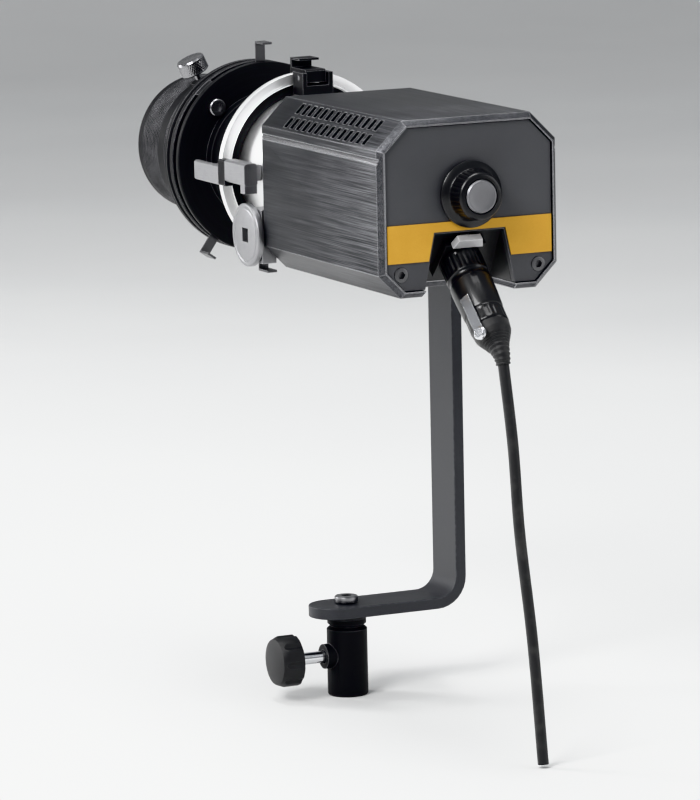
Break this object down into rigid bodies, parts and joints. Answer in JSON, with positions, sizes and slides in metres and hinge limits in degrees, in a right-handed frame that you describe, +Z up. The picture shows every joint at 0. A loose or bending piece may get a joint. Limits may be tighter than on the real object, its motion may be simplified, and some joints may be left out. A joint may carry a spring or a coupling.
{
  "type": "ellipsoidal spotlight",
  "caption": "compact stage spotlight: eight-sided lamp housing, rear dimmer knob, angled power plug, clip-on framing projector with focusing lens tube, and an L-shaped yoke on a stand socket",
  "frame": {"origin": "centre of the flat seat at the top of the stand socket's bore, on the pan axis", "axes": "+Z up along the pan axis; the beam leaves along -Y; +X is the lamp's own left, away from the yoke's arm"},
  "size_m": [0.159, 0.468, 0.41],
  "materials": {
    "gunmetal": "brushed and dark anodised",
    "panel_grey": "fine matt powder coat",
    "amber_label": "printed film, plain amber",
    "satin_black": "satin black anodised",
    "black_plastic": "moulded, fine texture",
    "gloss_black": "moulded, polished",
    "satin_aluminium": "satin, turned and milled",
    "bright_aluminium": "bright, turned",
    "chrome": "polished plating",
    "steel": "zinc plated",
    "yoke_paint": "satin dark grey paint",
    "cable_rubber": "matt",
    "lens_glass": "coated, polished",
    "phosphor": "yellow phosphor on a white base",
    "circuit_board": "green solder mask"
  },
  "bodies": {
    "receiver": {"receiver_body": "satin_black"},
    "clamp": {"clamp_screw": "chrome", "clamp_knob": "black_plastic"},
    "yoke": {"yoke_arm": "yoke_paint", "pan_washer": "black_plastic", "pan_bolt": "steel", "tilt_washer": "black_plastic", "tilt_bolt": "steel"},
    "tilt_lock": {"tilt_lock_knob": "black_plastic"},
    "head": {"housing_shell": "gunmetal", "rear_panel": "panel_grey", "label_band": "amber_label", "panel_screw_left": "steel", "panel_screw_right": "steel", "socket_tray": "black_plastic", "power_socket": "black_plastic", "driver_board": "circuit_board", "dimmer_encoder": "black_plastic", "heat_sink": "satin_aluminium", "led_module": "phosphor", "reflector": "bright_aluminium", "fan_frame": "black_plastic", "front_frame": "satin_aluminium", "pivot_disc_left": "satin_aluminium", "pivot_disc_right": "satin_aluminium", "mount_barrel": "bright_aluminium", "claw_left": "satin_aluminium", "claw_right": "satin_aluminium", "claw_top": "satin_black", "latch_pin": "steel", "ring_plate": "bright_aluminium", "front_block_left": "satin_aluminium", "front_block_right": "satin_aluminium", "claw_pad_left": "satin_black", "claw_pad_right": "satin_black", "drum": "satin_black", "shutter_screw_1": "steel", "shutter_screw_2": "steel", "shutter_screw_3": "steel", "gate_plate": "satin_black", "condenser_lens": "lens_glass", "front_housing": "satin_black"},
    "latch": {"latch_lever": "satin_black"},
    "blade_top": {"shutter_blade_top": "steel"},
    "blade_left": {"shutter_blade_left": "steel"},
    "blade_bottom": {"shutter_blade_bottom": "steel"},
    "blade_right": {"shutter_blade_right": "steel"},
    "lens": {"lens_tube": "satin_black", "front_lens": "lens_glass", "rear_lens": "lens_glass"},
    "focus_lock": {"focus_screw": "satin_aluminium"},
    "dimmer": {"dimmer_knob": "gloss_black", "dimmer_cap": "satin_aluminium", "dimmer_shaft": "steel"},
    "fan": {"fan_rotor": "black_plastic"},
    "socket_latch": {"socket_latch": "bright_aluminium"},
    "plug": {"plug_shell": "gloss_black", "plug_boot": "cable_rubber", "plug_strap": "chrome"},
    "cable": {"power_cable": "cable_rubber"}
  },
  "joints": [
    {"name": "clamp_turn", "type": "hinge", "parent": "receiver", "child": "clamp", "pos_m": [0, 0, -0.009], "axis": [1, 0, 0], "range_deg": [0, 540]},
    {"name": "pan", "type": "hinge", "parent": "receiver", "child": "yoke", "pos_m": [0, 0, 0.016], "axis": [0, 0, 1], "continuous": true},
    {"name": "tilt", "type": "hinge", "parent": "yoke", "child": "head", "pos_m": [0, 0, 0.266], "axis": [1, 0, 0], "range_deg": [-60, 90]},
    {"name": "tilt_lock_turn", "type": "hinge", "parent": "yoke", "child": "tilt_lock", "pos_m": [-0.085, 0, 0.266], "axis": [-1, 0, 0], "range_deg": [0, 180]},
    {"name": "latch_hinge", "type": "hinge", "parent": "head", "child": "latch", "pos_m": [0, -0.033, 0.3585], "axis": [1, 0, 0], "range_deg": [-14, 0]},
    {"name": "focus_slide", "type": "slide", "parent": "head", "child": "lens", "axis": [0, -1, 0], "range_m": [0, 0.02]},
    {"name": "focus_lock_turn", "type": "hinge", "parent": "head", "child": "focus_lock", "pos_m": [0, -0.164, 0.3], "axis": [0.4226, 0, 0.9063], "range_deg": [0, 360]},
    {"name": "dimmer_turn", "type": "hinge", "parent": "head", "child": "dimmer", "pos_m": [0, 0.188, 0.307], "axis": [0, 1, 0], "range_deg": [-135, 135]},
    {"name": "fan_spin", "type": "hinge", "parent": "head", "child": "fan", "pos_m": [0, 0.092, 0.3], "axis": [0, 1, 0], "continuous": true},
    {"name": "socket_latch_press", "type": "slide", "parent": "head", "child": "socket_latch", "axis": [0, -0.7314, 0.682], "range_m": [0, 0.0015]},
    {"name": "plug_slide", "type": "slide", "parent": "head", "child": "plug", "axis": [0, 0.7314, -0.682], "range_m": [0, 0.022]},
    {"name": "cable_swing", "type": "hinge", "parent": "plug", "child": "cable", "pos_m": [-0.0002, 0.2302, 0.203], "axis": [1, 0, 0], "range_deg": [-90, 60]},
    {"name": "shutter_top", "type": "slide", "parent": "head", "child": "blade_top", "axis": [0, 0, -1], "range_m": [0, 0.009]},
    {"name": "shutter_left", "type": "slide", "parent": "head", "child": "blade_left", "axis": [-0.5736, 0, 0.8192], "range_m": [0, 0.009]},
    {"name": "shutter_bottom", "type": "slide", "parent": "head", "child": "blade_bottom", "axis": [0, 0, 1], "range_m": [0, 0.009]},
    {"name": "shutter_right", "type": "slide", "parent": "head", "child": "blade_right", "axis": [1, 0, 0], "range_m": [0, 0.009]}
  ],
  "couplings": [
    {"joint": "cable_swing", "follows": "tilt", "ratio": -1}
  ]
}
